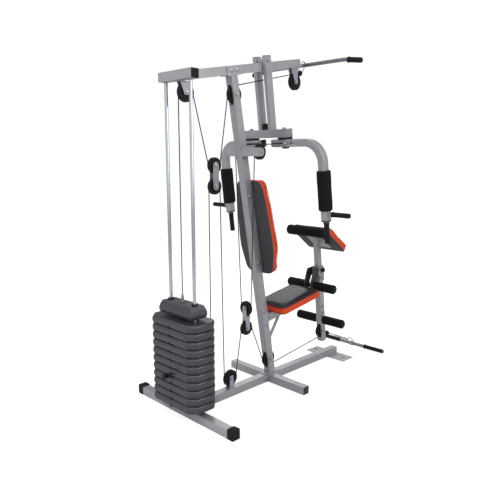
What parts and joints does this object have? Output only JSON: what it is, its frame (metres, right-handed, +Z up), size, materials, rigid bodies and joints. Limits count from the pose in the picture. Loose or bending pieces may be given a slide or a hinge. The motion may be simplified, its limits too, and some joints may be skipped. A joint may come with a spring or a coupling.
{
  "type": "multi station home gym",
  "caption": "Home gym with a weight stack, lat pulldown, press and butterfly arms, leg lever, arm curl pad and low pulley, moved by three cables.",
  "frame": {"origin": "on the floor under the middle stabilizer, on the plane of symmetry", "axes": "+Z up, +Y the way that the seated user faces, +X the seated user's right"},
  "size_m": [1.172, 1.8505, 2.1005],
  "materials": {
    "silver_paint": "silver-grey powder coat, satin",
    "dark_paint": "charcoal powder coat, satin",
    "chrome": "polished chrome plate",
    "zinc": "bright zinc-plated sheet steel",
    "stack_shell": "charcoal moulded shell, fine texture",
    "nylon": "black moulded nylon",
    "black_plastic": "black moulded plastic",
    "cable_cover": "black plastic over steel rope",
    "foam": "closed-cell foam with a fine skin",
    "vinyl_black": "black vinyl with a fine grain",
    "vinyl_orange": "orange-red vinyl sides with a dark face"
  },
  "bodies": {
    "frame": {"rear_spine": "silver_paint", "front_spine": "silver_paint", "rear_stabilizer": "silver_paint", "mid_stabilizer": "silver_paint", "rear_crossbar": "silver_paint", "mast": "silver_paint", "top_beam": "silver_paint", "backrest_pad": "vinyl_orange", "guide_rod_left": "chrome", "guide_rod_right": "chrome", "seat_frame": "silver_paint", "seat_pad": "vinyl_black", "knee_bracket": "dark_paint", "knee_foam_left": "foam", "knee_foam_right": "foam", "weight_plate_08": "stack_shell", "weight_plate_09": "stack_shell", "weight_plate_10": "stack_shell", "weight_plate_11": "stack_shell", "cable_lat": "cable_cover", "cable_low": "cable_cover", "cable_arms": "cable_cover"},
    "stack": {"selector_block": "stack_shell", "weight_plate_01": "stack_shell", "weight_plate_02": "stack_shell", "weight_plate_03": "stack_shell", "weight_plate_04": "stack_shell", "weight_plate_05": "stack_shell", "weight_plate_06": "stack_shell", "weight_plate_07": "stack_shell"},
    "pin": {"selector_pin": "black_plastic"},
    "lat_bar": {"lat_bar": "chrome"},
    "rear_top_wheel": {"rear_top_wheel": "nylon"},
    "mast_top_wheel": {"mast_top_wheel": "nylon"},
    "lat_wheel": {"lat_wheel": "nylon"},
    "upper_block": {"floating_bracket_upper": "zinc"},
    "floating_wheel_1": {"floating_wheel_1": "nylon"},
    "floating_wheel_2": {"floating_wheel_2": "nylon"},
    "base_wheel": {"base_wheel": "nylon"},
    "lower_block": {"floating_bracket_lower": "zinc"},
    "floating_wheel_3": {"floating_wheel_3": "nylon"},
    "floating_wheel_4": {"floating_wheel_4": "nylon"},
    "mast_bottom_wheel": {"mast_bottom_wheel": "nylon"},
    "low_bar": {"low_bar": "chrome"},
    "press": {"press_frame": "silver_paint"},
    "arm_left": {"arm_left": "silver_paint", "arm_foam_left": "foam"},
    "arm_right": {"arm_right": "silver_paint", "arm_foam_right": "foam"},
    "arm_wheel_left": {"arm_wheel_left": "nylon"},
    "arm_wheel_right": {"arm_wheel_right": "nylon"},
    "leg_lever": {"leg_lever": "silver_paint", "ankle_foam_left": "foam", "ankle_foam_right": "foam"},
    "lever_wheel": {"lever_wheel": "nylon"},
    "curl_rest": {"curl_post": "silver_paint", "curl_pad": "vinyl_orange", "curl_roller": "foam"},
    "lock_knob": {"lock_knob": "black_plastic"}
  },
  "joints": [
    {"name": "stack_lift", "type": "slide", "parent": "frame", "child": "stack", "axis": [0, 0, 1], "range_m": [0, 0.65], "deforming": ["cable_lat"]},
    {"name": "pin_pull", "type": "slide", "parent": "stack", "child": "pin", "axis": [0, -1, 0], "range_m": [0, 0.13]},
    {"name": "lat_pull", "type": "slide", "parent": "frame", "child": "lat_bar", "axis": [0, 0, -1], "range_m": [0, 0.65]},
    {"name": "rear_top_wheel_turn", "type": "hinge", "parent": "frame", "child": "rear_top_wheel", "pos_m": [0, -0.6595, 1.822], "axis": [-1, 0, 0], "continuous": true},
    {"name": "mast_top_wheel_turn", "type": "hinge", "parent": "frame", "child": "mast_top_wheel", "pos_m": [0, -0.30202, 1.83749], "axis": [-1, 0, 0], "continuous": true},
    {"name": "lat_wheel_turn", "type": "hinge", "parent": "frame", "child": "lat_wheel", "pos_m": [0, 0.23522, 1.95753], "axis": [-1, 0, 0], "continuous": true},
    {"name": "low_pull", "type": "slide", "parent": "frame", "child": "low_bar", "axis": [0, 0.5, 0.866], "range_m": [0, 0.5], "deforming": ["cable_low"]},
    {"name": "upper_block_travel", "type": "slide", "parent": "frame", "child": "upper_block", "axis": [0, 0, -1], "range_m": [0, 0.25]},
    {"name": "floating_wheel_1_turn", "type": "hinge", "parent": "upper_block", "child": "floating_wheel_1", "pos_m": [0, -0.46, 1.433], "axis": [1, 0, 0], "continuous": true},
    {"name": "floating_wheel_2_turn", "type": "hinge", "parent": "upper_block", "child": "floating_wheel_2", "pos_m": [0, -0.46, 1.312], "axis": [-1, 0, 0], "continuous": true},
    {"name": "base_wheel_turn", "type": "hinge", "parent": "frame", "child": "base_wheel", "pos_m": [0, -0.347, 0.114], "axis": [1, 0, 0], "continuous": true},
    {"name": "mast_bottom_wheel_turn", "type": "hinge", "parent": "frame", "child": "mast_bottom_wheel", "pos_m": [0, 0.00151, 0.15058], "axis": [1, 0, 0], "continuous": true},
    {"name": "press_swing", "type": "hinge", "parent": "frame", "child": "press", "pos_m": [0, -0.06836, 2.05227], "axis": [1, 0, 0], "range_deg": [0, 40], "deforming": ["cable_arms"]},
    {"name": "lower_block_travel", "type": "slide", "parent": "frame", "child": "lower_block", "axis": [0, 0, 1], "range_m": [0, 0.33]},
    {"name": "floating_wheel_3_turn", "type": "hinge", "parent": "lower_block", "child": "floating_wheel_3", "pos_m": [0, -0.204, 0.537], "axis": [0, 1, 0], "continuous": true},
    {"name": "floating_wheel_4_turn", "type": "hinge", "parent": "lower_block", "child": "floating_wheel_4", "pos_m": [0, -0.204, 0.408], "axis": [-1, 0, 0], "continuous": true},
    {"name": "arm_wheel_left_turn", "type": "hinge", "parent": "frame", "child": "arm_wheel_left", "pos_m": [-0.082, -0.172, 1.51], "axis": [-1, 0, 0], "continuous": true},
    {"name": "arm_wheel_right_turn", "type": "hinge", "parent": "frame", "child": "arm_wheel_right", "pos_m": [0.082, -0.172, 1.51], "axis": [-1, 0, 0], "continuous": true},
    {"name": "arm_left_swing", "type": "hinge", "parent": "press", "child": "arm_left", "pos_m": [-0.14, -0.00427, 1.56547], "axis": [0, 0.1305, -0.9914], "range_deg": [0, 85], "deforming": ["cable_arms"]},
    {"name": "arm_right_swing", "type": "hinge", "parent": "press", "child": "arm_right", "pos_m": [0.14, -0.00427, 1.56547], "axis": [0, -0.1305, 0.9914], "range_deg": [0, 85], "deforming": ["cable_arms"]},
    {"name": "leg_swing", "type": "hinge", "parent": "frame", "child": "leg_lever", "pos_m": [0, 0.5326, 0.625], "axis": [1, 0, 0], "range_deg": [0, 90], "deforming": ["cable_low"]},
    {"name": "lever_wheel_turn", "type": "hinge", "parent": "leg_lever", "child": "lever_wheel", "pos_m": [0, 0.56506, 0.21511], "axis": [1, 0, 0], "continuous": true},
    {"name": "curl_height", "type": "slide", "parent": "frame", "child": "curl_rest", "axis": [0, -0.108, 0.9942], "range_m": [0, 0.035]},
    {"name": "lock_knob_turn", "type": "hinge", "parent": "frame", "child": "lock_knob", "pos_m": [0, 0.52634, 0.68266], "axis": [1, 0, 0], "continuous": true}
  ],
  "couplings": [
    {"joint": "lat_pull", "follows": "stack_lift", "ratio": 1},
    {"joint": "rear_top_wheel_turn", "follows": "stack_lift", "rad_per_m": 20.619},
    {"joint": "mast_top_wheel_turn", "follows": "stack_lift", "rad_per_m": 20.619},
    {"joint": "lat_wheel_turn", "follows": "stack_lift", "rad_per_m": 20.619},
    {"joint": "floating_wheel_1_turn", "follows": "stack_lift", "rad_per_m": 23.529},
    {"joint": "upper_block_travel", "follows": "low_pull", "ratio": 0.5},
    {"joint": "floating_wheel_2_turn", "follows": "low_pull", "rad_per_m": 11.765},
    {"joint": "base_wheel_turn", "follows": "low_pull", "rad_per_m": 20.619},
    {"joint": "floating_wheel_4_turn", "follows": "low_pull", "rad_per_m": 23.529},
    {"joint": "mast_bottom_wheel_turn", "follows": "low_pull", "rad_per_m": 20.619},
    {"joint": "lever_wheel_turn", "follows": "low_pull", "rad_per_m": 23.529},
    {"joint": "lower_block_travel", "follows": "press_swing", "m_per_rad": 0.467},
    {"joint": "arm_wheel_left_turn", "follows": "press_swing", "ratio": 10.988},
    {"joint": "arm_wheel_right_turn", "follows": "press_swing", "ratio": 10.988}
  ]
}
